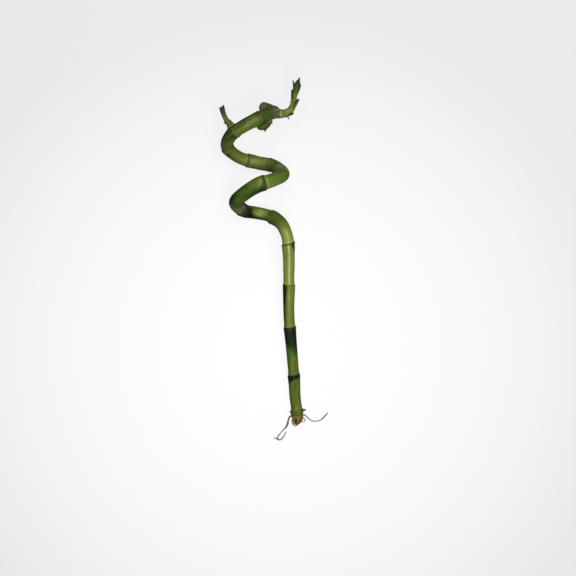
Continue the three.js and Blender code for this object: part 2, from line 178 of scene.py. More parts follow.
# How brown the skin is between nodes, 0 to 1: pairs of distance and brown.
CANE_BROWN = [
    (0, 0.34), (3, 0.26), (6, 0.3), (9, 0.16), (60, 0.14), (88, 0), (241, 0), (247, 0.45),
    (251, 0.5), (254, 0.15), (264, 0), (306, 0), (312, 0.3), (316, 0), (390, 0), (397, 0.25),
    (405, 0.05), (422, 0.15), (432, 0.3), (442, 0.2), (452, 0.1), (457, 0.35), (463, 0.15),
    (480, 0.1), (486, 0.2), (492, 0), (506, 0), (512, 0.25), (518, 0), (546, 0),
]

# How dull the wax is, 0 to 1: pairs of distance and dullness. The root end stood in water.
CANE_DULL = [
    (0, 1), (86, 1), (94, 0.62), (130, 0.6), (135, 0), (200, 0), (212, 0.4), (250, 0.5),
    (256, 0.8), (290, 0.6), (303, 0.3), (309, 0.6), (350, 0.6), (380, 0.45), (420, 0.6),
    (440, 0.6), (454, 1), (462, 0.7), (475, 0.5), (500, 0.7), (546, 0.8),
]

# How grey the bloom on the wax is, 0 to 1: pairs of distance and bloom. The cut end is sealed.
CANE_BLOOM = [
    (0, 0), (253, 0), (256, 0.7), (266, 0.75), (271, 0.1), (282, 0), (345, 0), (353, 0.35),
    (360, 0.1), (500, 0), (508, 0.3), (513, 0.55), (518, 0.78), (536, 0.75), (546, 0.5),
]

# Dormant buds: the node they sit on, the way they face, and how long and proud they are in mm.
BUDS = [
    dict(node=0, facing=(-1, 0.1, 0.4), length=2.8, proud=1.7, brown=0.7),
    dict(node=0, facing=(1, 0.2, 0.2), length=2.8, proud=4, brown=0.5),
    dict(node=4, facing=(1, 0, 0.3), length=3.4, proud=0.9, brown=0.2),
    dict(node=5, facing=(0, -0.4, 1), length=3, proud=0.9, brown=0.2),
    dict(node=7, facing=(-0.3, 1, 0.4), length=3.4, proud=1, brown=1),
    dict(node=10, facing=(-0.5, -0.8, 0.3), length=3.2, proud=0.9, brown=0.8),
]

# Shoots in millimetres: the stem's centreline, its girth, its bud scale and its cut leaves.
# turn 0 faces up and 90 the stem's right, in degrees.
SHOOTS = {
    "shoot_top": dict(
        route=[
            (0.5, 145.7, 32), (4.9, 145.3, 32), (9.9, 145.3, 32.5), (13.9, 146.6, 33),
            (17.4, 150.4, 33.5), (19.1, 154.9, 34), (20.1, 161.9, 34.5), (21.4, 167.9, 35),
            (22.9, 173.9, 36),
        ],
        girth=[(0, 3.8), (14, 4), (17.5, 3.5), (22, 3.1), (27, 2.9), (34, 2.8), (44, 1.6)],
        deep=0.2, aged=0,
        scale=dict(start=3, end=9, thick=(4.9, 4.3), green=(0, 0.7), dark=0),
        leaves=[
            dict(start=10.5, end=16.8, turn=84, lift=0.9, widths=(4, 4.2, 4), open=0, slant=0),
            dict(start=19, end=29.4, turn=54, lift=2.6, widths=(3.6, 3.6, 3.2, 1.6), open=0.5, slant=0),
            dict(start=25, end=37.6, turn=-66, lift=1.1, widths=(3, 3, 2.8, 1.6), open=0.4, slant=0),
            dict(start=34, end=46.6, turn=-64, lift=2.4, widths=(2.2, 2.4, 2.2, 1.5), open=0.3, slant=0),
            dict(start=30, end=49.6, turn=24, lift=0.7, widths=(3, 4, 4.4, 3.6, 0.5), open=1.6, slant=2.6),
        ],
        spikes=[dict(start=(12.4, 143.9, 33), end=(15.2, 139.4, 33.6), thick=0.85)],
    ),
    "shoot_left": dict(
        route=[
            (-41.2, 127, 47), (-42.8, 132.1, 48.6), (-46.2, 136.7, 50.4), (-48.2, 139.8, 51.2),
            (-50.3, 144.9, 52), (-51.6, 149.4, 52.6),
        ],
        girth=[(0, 3.4), (8, 3), (12, 2.6), (16, 2.4), (24, 2.1)],
        deep=0.32, aged=0.06,
        scale=dict(start=1.5, end=7.6, thick=(4.4, 3.9), green=(0.15, 0.5), dark=0.1),
        leaves=[
            dict(start=8.2, end=12.8, turn=-80, lift=0.4, widths=(3, 2.8, 2.2), open=0, slant=0),
            dict(start=7.9, end=10.6, turn=70, lift=0.5, widths=(3, 3, 2.4), open=0, slant=0),
            dict(start=12, end=27, turn=-52, lift=-0.7, widths=(2.6, 2.6, 2.3, 1.9), open=0.2, slant=0),
            dict(start=14, end=28.4, turn=56, lift=-0.2, widths=(2.6, 2.6, 2.2, 1.8), open=0.2, slant=0),
            dict(start=16, end=27.4, turn=0, lift=-0.3, widths=(2.2, 2.2, 2, 1.4), open=0.2, slant=0),
        ],
        spikes=[],
    ),
    "shoot_under": dict(
        route=[
            (-5, 141.5, 40), (-6, 137.2, 43), (-8.4, 133.4, 46), (-12.2, 131.2, 48),
            (-16.9, 131.7, 48.4),
        ],
        girth=[(0, 3.8), (8, 4), (14, 3.4), (20, 1.8)],
        deep=0.48, aged=0.14,
        scale=dict(start=4.5, end=8.5, thick=(4.5, 4.1), green=(0.85, 0.95), dark=0.45),
        leaves=[
            dict(start=9, end=15, turn=-80, lift=0.5, widths=(3.6, 3.6, 2.4), open=0.3, slant=0),
            dict(start=9, end=18, turn=60, lift=0.2, widths=(3.4, 3.4, 2.6), open=0.3, slant=0),
            dict(start=11, end=20.6, turn=-20, lift=0.2, widths=(3.4, 3.4, 2.6, 1.4), open=0.4, slant=-1),
        ],
        spikes=[dict(start=(-9.2, 129.2, 47.6), end=(-8.4, 126.1, 48), thick=0.8)],
    ),
}

# Long roots from the crown outward, with their radius from foot to tip, in millimetres.
LONG_ROOTS = [
    dict(
        points=[
            (20.5, -158.4, 5.5), (16.6, -157.6, 5.2), (14.6, -160.4, 3.4), (13.6, -165, 1.6),
            (12, -168.9, 0.7), (8.2, -172.7, 0.5), (3.9, -178.1, 0.5), (3.2, -181, 0.5),
            (6.2, -181.7, 0.5), (8.7, -179.6, 0.5), (10.6, -176.3, 0.5), (11.7, -173.8, 0.5),
        ],
        thick=(1, 0.9, 0.8, 1, 0.95, 0.55, 0.5, 0.6, 0.7, 0.65, 0.55, 0.45), deep=0.45, grey=0.75,
    ),
    dict(
        points=[
            (25.5, -158, 6), (30, -156.4, 5.4), (32.9, -158.6, 3.2), (36.6, -161.6, 1.4),
            (39.4, -162.9, 0.6), (44.1, -162.6, 0.5), (47.4, -161.3, 0.5), (50.6, -158.3, 0.5),
            (54.1, -154.4, 0.5),
        ],
        thick=(0.75, 0.65, 0.6, 0.5, 0.5, 0.5, 0.6, 0.7, 0.5), deep=0.4, grey=0.85,
    ),
    dict(
        points=[
            (24.5, -159, 7.5), (28, -159.8, 7), (30.9, -160.6, 5.4), (31, -162.6, 4.2),
            (28.6, -163.5, 4), (26, -162.6, 4.6),
        ],
        thick=(0.65, 0.6, 0.5, 0.5, 0.5, 0.5), deep=0.15, grey=0,
    ),
    dict(
        points=[(4.6, -181.2, 0.5), (2.2, -180.4, 0.5), (-0.4, -179.9, 0.5)],
        thick=(0.6, 0.45), deep=0.5, grey=0.2,
    ),
]


# Curves and interpolation

def along(pairs, distance):
    """Straight interpolation through pairs of distance and value, level beyond both ends."""
    if distance <= pairs[0][0]:
        return pairs[0][1]
    for (start, low), (end, high) in zip(pairs, pairs[1:]):
        if distance <= end:
            return low + (high - low) * (distance - start) / (end - start)
    return pairs[-1][1]


def spread(values, share):
    """Even interpolation through a list of values, at a share from 0 to 1 of its length."""
    return along([(i / (len(values) - 1), value) for i, value in enumerate(values)], share)


def smooth(share):
    share = min(1, max(0, share))
    return share * share * (3 - 2 * share)


def bell(offset, reach):
    return math.exp(-((offset / reach) ** 2))


class Route:
    """A smooth line through points in millimetres, with a frame carried along it untwisted."""

    RESOLUTION = 33

    def __init__(self, points, reference=UP, place=MIDDLE):
        knots = [Vector(point) + place for point in points]
        knots = [2 * knots[0] - knots[1], *knots, 2 * knots[-1] - knots[-2]]
        line = [knots[1]]
        for before, start, end, after in zip(knots, knots[1:], knots[2:], knots[3:]):
            handles = start + (end - before) / 6, end - (after - start) / 6
            line += interpolate_bezier(start, *handles, end, self.RESOLUTION)[1:]
        self.centres = line
        self.forwards = [
            (line[min(i + 1, len(line) - 1)] - line[max(i - 1, 0)]).normalized() for i in range(len(line))
        ]
        self.distances = [0]
        for start, end in zip(line, line[1:]):
            self.distances.append(self.distances[-1] + (end - start).length)
        self.length = self.distances[-1]
        self.outs = []
        out = Vector(reference)
        for forward in self.forwards:
            out = (out - forward * out.dot(forward)).normalized()
            self.outs.append(out)
        self.cursor = 0

    def at(self, distance, reference=None):
        """The centre, the way along, the way out and the way to the side of both."""
        inside = min(max(distance, 0), self.length)
        i = self.cursor
        while i > 0 and self.distances[i] > inside:
            i -= 1
        while i < len(self.distances) - 2 and self.distances[i + 1] < inside:
            i += 1
        self.cursor = i
        share = (inside - self.distances[i]) / (self.distances[i + 1] - self.distances[i])
        forward = self.forwards[i].lerp(self.forwards[i + 1], share).normalized()
        centre = self.centres[i].lerp(self.centres[i + 1], share) + forward * (distance - inside)
        out = self.outs[i].lerp(self.outs[i + 1], share) if reference is None else Vector(reference)
        out = (out - forward * out.dot(forward)).normalized()
        return centre, forward, out, forward.cross(out)


def steps(start, end, step):
    """Evenly spaced distances from one to another, both included."""
    count = max(1, round((end - start) / step))
    return [start + (end - start) * i / count for i in range(count + 1)]


# Meshes, shaped in millimetres and finished in metres

# What the materials read at each corner, from 0 to 1: how deep, brown, dull, bloomed and fresh.
PAINTS = ("shade", "brown", "dull", "bloom", "fresh")
MERGE = 1e-5
LEAST_RADIUS = 0.05


def new_mesh():
    """An empty mesh with the paints, and where each corner was before the piece was bent."""
    mesh = bmesh.new()
    for paint in PAINTS:
        mesh.verts.layers.float.new(paint)
    mesh.verts.layers.float_vector.new("straight")
    return mesh


def paint_corner(mesh, vertex, **amounts):
    for paint, amount in amounts.items():
        vertex[mesh.verts.layers.float[paint]] = min(1, max(0, amount))


def spin_profile(mesh, profile, sides):
    """Spins a profile of radius and height once around Z, closed where it starts or ends on Z."""
    corners = [mesh.verts.new((radius, 0, height)) for radius, height in profile]
    edges = [mesh.edges.new(pair) for pair in zip(corners, corners[1:])]
    bmesh.ops.spin(
        mesh, geom=corners + edges, cent=(0, 0, 0), axis=UP, angle=math.tau, steps=sides, use_merge=True,
    )
    bmesh.ops.remove_doubles(mesh, verts=mesh.verts, dist=MERGE)


def turned_rod(distances, girth, sides):
    """A rod turned around Z, with a ring of corners at each distance and closed ends."""
    mesh = new_mesh()
    spin_profile(mesh, [(0, distances[0]), *((girth(d), d) for d in distances), (0, distances[-1])], sides)
    bmesh.ops.recalc_face_normals(mesh, faces=mesh.faces)
    return mesh


def bend(mesh, route, look, relief=None):
    """Bends a rod along a route. look gives a corner's paints from its distance, its angle and the
    way that it faces, and relief what to add to its radius."""
    straight = mesh.verts.layers.float_vector["straight"]
    for vertex in sorted(mesh.verts, key=lambda corner: corner.co.z):
        x, y, distance = vertex.co
        centre, forward, out, side = route.at(distance)
        radius = math.hypot(x, y)
        angle = math.atan2(y, x)
        way = out * math.cos(angle) + side * math.sin(angle)
        if radius > 0 and relief:
            radius = max(LEAST_RADIUS, radius + relief(distance, angle, way))
        vertex[straight] = Vector((math.cos(angle) * radius, math.sin(angle) * radius, distance)) * MM
        vertex.co = centre + way * radius
        paint_corner(mesh, vertex, **look(distance, angle, way))
    return mesh


def rest_on_floor(mesh):
    """Presses flat what would lie below the surface."""
    for vertex in mesh.verts:
        vertex.co.z = max(0, vertex.co.z)


def add_object(name, mesh, material):
    """A smooth object made from a mesh in metres, with its material."""
    for face in mesh.faces:
        face.smooth = True
    data = bpy.data.meshes.new(name)
    mesh.to_mesh(data)
    mesh.free()
    data.materials.append(material)
    added = bpy.data.objects.new(name, data)
    bpy.context.scene.collection.objects.link(added)
    return added


def finish_piece(name, meshes, material, node):
    """Joins meshes into one piece with its material, under the stalk's body, in place of the node that it
    hides.
    """
    whole = new_mesh()
    for mesh in meshes:
        part = bpy.data.meshes.new("part")
        mesh.to_mesh(part)
        mesh.free()
        whole.from_mesh(part)
        bpy.data.meshes.remove(part)
    rest_on_floor(whole)
    bmesh.ops.scale(whole, vec=(MM, MM, MM), verts=whole.verts)
    piece = add_object(name, whole, material)
    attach(piece, BODY)
    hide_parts(node)


# Materials

def linear(colour):
    """An sRGB hex value as linear red, green, blue and alpha."""
    parts = [((colour >> shift) & 255) / 255 for shift in (16, 8, 0)]
    return tuple(p / 12.92 if p <= 0.04045 else ((p + 0.055) / 1.055) ** 2.4 for p in parts) + (1,)


def set_inputs(tree, node, inputs):
    """Sets a node's inputs, by name or number, to values, or links them to another node's output."""
    for name, source in inputs.items():
        if isinstance(source, bpy.types.NodeSocket):
            tree.links.new(source, node.inputs[name])
        else:
            node.inputs[name].default_value = source


def add_node(tree, kind, result, inputs, stops=(), **settings):
    """Adds a node with its settings, its inputs and its ramp's stops, and gives the output named."""
    node = tree.nodes.new(kind)
    for name, value in settings.items():
        setattr(node, name, value)
    set_inputs(tree, node, inputs)
    if stops:
        elements = node.color_ramp.elements
        while len(elements) < len(stops):
            elements.new(0.5)
        for element, (position, colour) in zip(elements, stops):
            element.position = position
            element.color = colour
    return node.outputs[result]


def start_material(name, *paints):
    """A new material with its tree and shader, and the named paints of the piece's corners."""
    material = bpy.data.materials.new(name)
    material.use_nodes = True
    tree = material.node_tree
    read = [add_node(tree, "ShaderNodeAttribute", "Fac", {}, attribute_name=paint) for paint in paints]
    return material, tree, tree.nodes["Principled BSDF"], *read


GRAIN_ROUGHNESS = 0.55


def grain(tree, size, stretch=1, detail=3):
    """Noise with grains of a size in metres, stretched along the piece's own length."""
    straight = add_node(tree, "ShaderNodeAttribute", "Vector", {}, attribute_name="straight")
    fit = (1 / size, 1 / size, 1 / (size * stretch))
    place = add_node(tree, "ShaderNodeMapping", "Vector", {"Vector": straight, "Scale": fit})
    return add_node(tree, "ShaderNodeTexNoise", "Fac", {
        "Vector": place, "Scale": 1, "Detail": detail, "Roughness": GRAIN_ROUGHNESS,
    })


def vary(tree, value, pattern, amount):
    """Raises and lowers a value by a pattern from 0 to 1, by an amount in all."""
    swing = add_node(tree, "ShaderNodeMath", "Value", {0: pattern, 1: 0.5}, operation="SUBTRACT")
    swing = add_node(tree, "ShaderNodeMath", "Value", {0: swing, 1: amount}, operation="MULTIPLY")
    return add_node(tree, "ShaderNodeMath", "Value", {0: value, 1: swing}, operation="ADD")


# The numbers of a colour mix's sockets: how much of the second colour, both colours, the result.
HOW_MUCH, FIRST, SECOND, MIXED = 0, 6, 7, 2


def cover(tree, colour, coats):
    """Lays coats over a colour, each given as how much it covers and its own colour."""
    for how_much, coat in coats:
        colour = add_node(tree, "ShaderNodeMix", MIXED, {
            HOW_MUCH: how_much, FIRST: colour, SECOND: coat,
        }, data_type="RGBA")
    return colour


BLACK = linear(0x000000)
WHITE = linear(0xffffff)


def living_cane(settings):
    """The living stem's skin: smooth and waxy, pale yellow-green between the nodes, deep green
    below each and brown in the rings. Fibres under the skin streak it along its length, drawn
    wider than they are so that they show. Older skin is duller, with wider bands and grey dust."""
    material, tree, shader, shade, brown, dull, bloom, fresh = start_material(
        "waxed living cane", "shade", "brown", "dull", "bloom", "fresh")
    streaks = grain(tree, settings.streak, 24, 4)
    mottle = grain(tree, 5 * MM, 2.5)
    bands = grain(tree, 2.4 * MM, 16)
    banded = add_node(tree, "ShaderNodeMath", "Value", {0: dull, 1: 0.52}, operation="MULTIPLY")
    mottled = add_node(tree, "ShaderNodeMath", "Value", {0: dull, 1: 0.26, 2: 0.22}, operation="MULTIPLY_ADD")
    shade = vary(tree, shade, streaks, 0.5)
    shade = vary(tree, shade, bands, banded)
    shade = vary(tree, shade, mottle, mottled)
    olive, leafy = (
        add_node(tree, "ShaderNodeValToRGB", "Color", {"Fac": shade}, [
            (0.0, linear(palest)), (0.2, linear(pale)), (0.4, middle),
            (0.6, linear(deep)), (0.8, linear(dark)), (1.0, linear(darkest)),
        ])
        for palest, pale, middle, deep, dark, darkest in (
            (0x9ea954, 0x828e3c, settings.skin, 0x4a5f20, 0x283c16, 0x121a0d),
            (0x94a956, 0x758e3c, settings.fresh_skin, 0x3e5f20, 0x213c16, 0x0f1a0d),
        )
    )
    scar = add_node(tree, "ShaderNodeValToRGB", "Color", {"Fac": grain(tree, 0.9 * MM, 2)}, [
        (0.3, linear(0x241c0e)), (0.55, settings.ring), (0.75, linear(0x6f6030)),
    ])
    blotches = add_node(
        tree, "ShaderNodeMath", "Value", {0: grain(tree, 1.6 * MM, 3), 1: 0.55}, operation="ADD")
    worn = add_node(tree, "ShaderNodeMath", "Value", {0: brown, 1: blotches}, operation="MULTIPLY")
    worn = add_node(tree, "ShaderNodeValToRGB", "Color", {"Fac": worn}, [(0.18, BLACK), (0.75, WHITE)])
    specks = add_node(tree, "ShaderNodeValToRGB", "Color", {"Fac": grain(tree, 0.7 * MM, 1.8, 1)}, [
        (0.67, BLACK), (0.76, WHITE),
    ])
    specks = add_node(tree, "ShaderNodeMath", "Value", {0: specks, 1: 0.4}, operation="MULTIPLY")
    patches = add_node(tree, "ShaderNodeMath", "Value", {0: mottle, 1: bands}, operation="ADD")
    patches = add_node(tree, "ShaderNodeMath", "Value", {0: patches, 1: 0.5}, operation="MULTIPLY")
    patches = add_node(tree, "ShaderNodeValToRGB", "Color", {"Fac": patches}, [
        (0.4, linear(0x8c8c8c)), (0.56, WHITE),
    ])
    dusty = add_node(tree, "ShaderNodeMath", "Value", {0: bloom, 1: patches}, operation="MULTIPLY")
    dust = add_node(tree, "ShaderNodeValToRGB", "Color", {"Fac": streaks}, [
        (0.36, linear(0x555a45)), (0.5, linear(0x7d8169)), (0.64, linear(0xaaad95)),
    ])
    colour = cover(tree, olive, [
        (fresh, leafy), (worn, scar), (specks, linear(0xa9ab78)), (dusty, dust),
    ])
    rough = add_node(tree, "ShaderNodeMath", "Value", {0: mottle, 1: 0.14, 2: 0.13}, operation="MULTIPLY_ADD")
    rough = add_node(tree, "ShaderNodeMath", "Value", {0: dull, 1: 0.34, 2: rough}, operation="MULTIPLY_ADD")
    gloss = add_node(tree, "ShaderNodeMath", "Value", {0: dull, 1: -0.4, 2: 0.52}, operation="MULTIPLY_ADD")
    set_inputs(tree, shader, {
        "Base Color": colour, "Roughness": rough, "Specular IOR Level": gloss, "IOR": 1.45,
        "Specular Tint": linear(0xfffbe0),
        "Normal": add_node(tree, "ShaderNodeBump", "Normal", {
            "Strength": 0.5, "Distance": 0.1 * MM, "Height": streaks,
        }),
    })
    return material


def young_leaf(settings):
    """Young sheathing leaves: tender and satin, with veins along them, pale where they clasp
    and dark green toward the edges. The cuts have dried to a thin brown line."""
    material, tree, shader, shade, brown = start_material("young sheath leaf", "shade", "brown")
    veins = grain(tree, 0.45 * MM, 20, 2)
    shade = vary(tree, shade, veins, 0.5)
    shade = vary(tree, shade, grain(tree, 2.4 * MM, 2), 0.35)
    green = add_node(tree, "ShaderNodeValToRGB", "Color", {"Fac": shade}, [
        (0.0, linear(0x8a9650)), (0.3, linear(0x6a7a34)), (0.6, settings.leaf), (1.0, linear(0x1a3010)),
    ])
    spots = add_node(tree, "ShaderNodeMath", "Value", {0: grain(tree, 0.8 * MM, 3), 1: 0.5}, operation="ADD")
    dry = add_node(tree, "ShaderNodeMath", "Value", {0: brown, 1: spots}, operation="MULTIPLY")
    set_inputs(tree, shader, {
        "Base Color": cover(tree, green, [(dry, linear(0x6b5330))]),
        "Roughness": 0.55, "Specular IOR Level": 0.1,
        "Normal": add_node(tree, "ShaderNodeBump", "Normal", {
            "Strength": 0.8, "Distance": 0.1 * MM, "Height": veins,
        }),
    })
    return material


def dry_scale(settings):
    """A dry bud scale: papery and dull, with lengthwise fibres, tan with brown edges, and still
    green where the shoot pushes through."""
    material, tree, shader, shade, green = start_material("dry bud scale", "shade", "dull")
    fibres = grain(tree, 0.5 * MM, 10, 4)
    tan = add_node(tree, "ShaderNodeValToRGB", "Color", {"Fac": vary(tree, shade, fibres, 0.8)}, [
        (0.0, linear(0xaca264)), (0.4, settings.tan), (0.7, linear(0x63482a)), (1.0, linear(0x352712)),
    ])
    set_inputs(tree, shader, {
        "Base Color": cover(tree, tan, [(green, linear(0x5c6a2c))]), "Roughness": 0.7,
        "Normal": add_node(tree, "ShaderNodeBump", "Normal", {
            "Strength": 0.9, "Distance": 0.2 * MM, "Height": fibres,
        }),
    })
    return material


def root_skin(settings):
    """Root skin: thin, matt and corky, tan on the young roots, dark brown in the crown, grey where
    it has dried and green where it meets the cane."""
    material, tree, shader, shade, grey, green = start_material(
        "corky root skin", "shade", "bloom", "brown")
    cork = grain(tree, 0.7 * MM, 2.2, 4)
    tan = add_node(tree, "ShaderNodeValToRGB", "Color", {"Fac": vary(tree, shade, cork, 0.9)}, [
        (0.0, linear(0xb0965e)), (0.35, settings.tan), (0.65, linear(0x543f20)), (1.0, linear(0x1c120a)),
    ])
    set_inputs(tree, shader, {
        "Base Color": cover(tree, tan, [(grey, linear(0x6a6656)), (green, linear(0x6d6c28))]),
        "Roughness": 0.72, "Specular IOR Level": 0.25,
        "Normal": add_node(tree, "ShaderNodeBump", "Normal", {
            "Strength": 0.9, "Distance": 0.25 * MM, "Height": cork,
        }),
    })
    return material


# Where the floor glows most, how fast the glow falls with the square of the distance from there,
# how much of it is lost at most, and how much lighter the haze in the floor is.
GLOW_MIDDLE = (-0.005, -0.1, 0)
GLOW_FALLOFF = 1.4
GLOW_LOSS = 0.17
HAZE_LIGHTER = 1.066


def lit_table(settings):
    """A matt acrylic table lit from below, so that the shadows on it stay faint. It glows evenly,
    a little less toward its rim, and a faint haze breaks the plain grey."""
    material, tree, shader = start_material("lit acrylic table")
    place = add_node(tree, "ShaderNodeTexCoord", "Object", {})
    haze = add_node(tree, "ShaderNodeTexNoise", "Fac", {"Vector": place, "Scale": 60, "Detail": 2})
    lighter = [part * HAZE_LIGHTER for part in settings.floor_colour]
    away = add_node(tree, "ShaderNodeVectorMath", "Value", {0: place, 1: GLOW_MIDDLE}, operation="DISTANCE")
    away = add_node(tree, "ShaderNodeMath", "Value", {0: away, 1: 2}, operation="POWER")
    loss = add_node(tree, "ShaderNodeMath", "Value", {0: away, 1: GLOW_FALLOFF}, operation="MULTIPLY")
    loss = add_node(tree, "ShaderNodeMath", "Value", {0: loss, 1: GLOW_LOSS}, operation="MINIMUM")
    set_inputs(tree, shader, {
        "Base Color": cover(tree, settings.floor_colour, [(haze, lighter)]),
        "Emission Color": WHITE, "Roughness": 0.9, "Specular IOR Level": 0.2,
        "Emission Strength": add_node(
            tree, "ShaderNodeMath", "Value", {0: settings.floor_glow, 1: loss}, operation="SUBTRACT"),
    })
    return material


def length_property(name, description, default, least=0):
    """A length in metres that the sidebar shows in the scene's units."""
    return bpy.props.FloatProperty(
        name=name, description=description, default=default, min=least, unit="LENGTH", subtype="DISTANCE",
    )


def colour_property(name, description, colour):
    """A colour that the sidebar shows, with an sRGB hex value as its default."""
    return bpy.props.FloatVectorProperty(
        name=name, description=description, subtype="COLOR", size=4, min=0, max=1, default=linear(colour),
    )


# Cane

def node_offsets(distance, way):
    """Each node's number and look, and how far a corner is beyond its ring, which leans to a side."""
    for index, (node, look) in enumerate(zip(NODES, NODE_LOOKS)):
        lean = way.dot(Vector(look["rises"]).normalized()) * look["by"]
        yield index, look, distance - node["at"] - lean


class StalkCaneSettings(bpy.types.PropertyGroup):
    ridge: length_property("Node ridge", "How proud the ring at each node stands", 0.5 * MM)
    swell: length_property("Node swelling", "How much the cane thickens below each node", 0.3 * MM)
    unevenness: length_property("Unevenness", "How far the skin wanders from a true round", 0.14 * MM)
    streak: length_property("Streak width", "Width of the fibre streaks along the skin", 0.9 * MM, 0.1 * MM)
    sides: bpy.props.IntProperty(
        name="Sides", description="Corners around the cane", default=52, min=12, max=72,
    )
    skin: colour_property("Skin", "Green of the skin between the nodes", 0x687428)
    fresh_skin: colour_property("Fresh skin", "Green of the skin where it is freshest", 0x597428)
    ring: colour_property("Ring", "Brown of the scars at the nodes", 0x4c3d1f)


# The ridge at a node is soft toward the root and sharp toward the tip, with a groove beyond it.
RIDGE_REACH = 1.1
RIDGE_SHARP_REACH = 0.7
RIDGE_WEAR = 0.35
SWELL_REACH = 5
GROOVE_DEPTH = 0.16
GROOVE_REACH = 0.6
GROOVE_AT = 1.9
UNEVEN_LENGTH = 16
END_ROUNDING = 2.4
END_DRAW_IN = 0.85
RING_STEP = 0.85
NODE_RING_STEP = 0.35
NODE_RING_SPAN = 3.2
END_RING_STEP = 0.3


def cane_rings(length):
    """Rings close together at the nodes and the rounded ends, and a plain step between them."""
    marks = [(0, END_ROUNDING), (length - END_ROUNDING, length)]
    marks += [(node["at"] - NODE_RING_SPAN, node["at"] + NODE_RING_SPAN) for node in NODES]
    rings = []
    reached = 0
    for start, end in sorted(marks):
        if start > reached:
            rings += steps(reached, start, RING_STEP)[:-1]
        fine = END_RING_STEP if start <= 0 or end >= length else NODE_RING_STEP
        start = max(start, reached)
        if end > start:
            rings += steps(start, end, fine)[:-1]
            reached = end
    return [*rings, length]


def around(angle, size, along_it):
    """Noise from -1 to 1 that runs on around a rod without a seam."""
    return noise.noise(Vector((math.cos(angle) * size, math.sin(angle) * size, along_it)))


def cane_relief(settings):
    ridge = settings.ridge / MM
    swell = settings.swell / MM
    uneven = settings.unevenness / MM

    def relief(distance, angle, way):
        total = 0
        for index, _, offset in node_offsets(distance, way):
            if abs(offset) < 4 * SWELL_REACH:
                reach = RIDGE_REACH if offset < 0 else RIDGE_SHARP_REACH
                total += ridge * (1 + RIDGE_WEAR * around(angle, 2, index)) * bell(offset, reach)
                total += swell * bell(offset + SWELL_REACH / 2, SWELL_REACH)
                total -= GROOVE_DEPTH * bell(offset - GROOVE_AT, GROOVE_REACH)
        return total + uneven * around(angle, 1.1, 1.1 * distance / UNEVEN_LENGTH)

    return relief


# Around each ring, in mm beyond it: a dark line, a brown stain and a paler scar.
LINE_AT, LINE_REACH, LINE_SHADE = 0.5, 0.5, 0.92
STAIN_AT, STAIN_REACH = 0.6, 1.3
SCAR_AT, SCAR_REACH, SCAR_PALER = 2.2, 1.3, 0.06
RING_SPAN = 3

# The dark green below a ring: how far at most it starts, how sharply it keeps to its side, how far
# its edge wanders, over what share of its reach it is full, and where around the cane it softens.
DARK_SPAN = 60
SIDE_POWER = 2.2
DARK_WANDER = 0.25
DARK_FULL = 0.45
SOFT_FROM, SOFT_OVER = 0.2, 0.45
PATCH_WANDER = 0.15


def spot_and_painted_light_amounts(distance, way):
    """What the spots, painted highlights and painted shade among them, add to each paint at a corner."""
    added = dict(shade=0, brown=0, bloom=0)
    for patch in SKIN_SPOTS_AND_PAINTED_LIGHT:
        offset = (distance - patch["at"]) / patch["reach"]
        if abs(offset) < 2:
            facing = way.dot(Vector(patch["facing"]).normalized())
            facing += PATCH_WANDER * noise.noise(Vector((distance / 2.5, facing * 3, patch["at"])))
            amount = bell(offset, 1) * smooth((facing - 1 + patch["wide"]) / patch["wide"])
            for paint in added:
                added[paint] += amount * patch.get(paint, 0)
    return added


def dark_below(look, offset, angle, way, index):
    """How fully the dark green below a ring covers a corner, from 0 to 1."""
    side = 0.5 + 0.5 * way.dot(Vector(look["shaded"]).normalized())
    reach = look["far"] + (look["reach"] - look["far"]) * side ** SIDE_POWER
    reach *= 1 + DARK_WANDER * around(angle, 1.6, index * 3)
    fade = 1 - smooth((-offset - reach * DARK_FULL) / max(1, reach * (1 - DARK_FULL)))
    return fade * (1 - look.get("soft", 0) * (1 - smooth((side - SOFT_FROM) / SOFT_OVER)))


def cane_look(distance, angle, way):
    """How green, brown and dull the skin is at a corner, with painted shade and painted highlights laid on.
    """
    added = spot_and_painted_light_amounts(distance, way)
    # Painted shade: the side that faces -Y is darkened, or lightened where its table is below 0.
    lower_side_shade = smooth((-way.y - 0.1) / 0.7)
    shade = along(CANE_DEPTH_AND_PAINTED_HIGHLIGHT, distance) + along(CANE_LOWER_SIDE_SHADE, distance) * lower_side_shade
    brown = along(CANE_BROWN, distance)
    for index, look, offset in node_offsets(distance, way):
        if -DARK_SPAN < offset <= STAIN_AT:
            shade += max(0, look["dark"] - shade) * dark_below(look, offset, angle, way, index)
        if abs(offset) < RING_SPAN:
            shade += (LINE_SHADE - shade) * look["line"] * bell(offset - LINE_AT, LINE_REACH)
            blotch = 0.7 + 0.9 * around(angle, 1.2, index * 5)
            brown = max(brown, look["stain"] * blotch * bell(offset - STAIN_AT, STAIN_REACH))
            shade -= SCAR_PALER * bell(offset - SCAR_AT, SCAR_REACH)
    return dict(
        shade=shade + added["shade"], brown=brown + added["brown"], dull=along(CANE_DULL, distance),
        bloom=along(CANE_BLOOM, distance) + added["bloom"], fresh=along(CANE_FRESH, distance),
    )


# A dormant bud: how deep it sits in the skin, how wide it is, how far its tip lifts, and its
# outline as pairs of share of its length and of its breadth.
BUD_SINK = 0.6
BUD_WIDTH = 1.4
BUD_LIFT = 0.3
BUD_STEP = 0.25
BUD_SIDES = 20
BUD_OUTLINE = [(0, 0.35), (0.15, 0.8), (0.35, 1), (0.6, 0.9), (0.8, 0.6), (0.95, 0.2), (1, 0.06)]


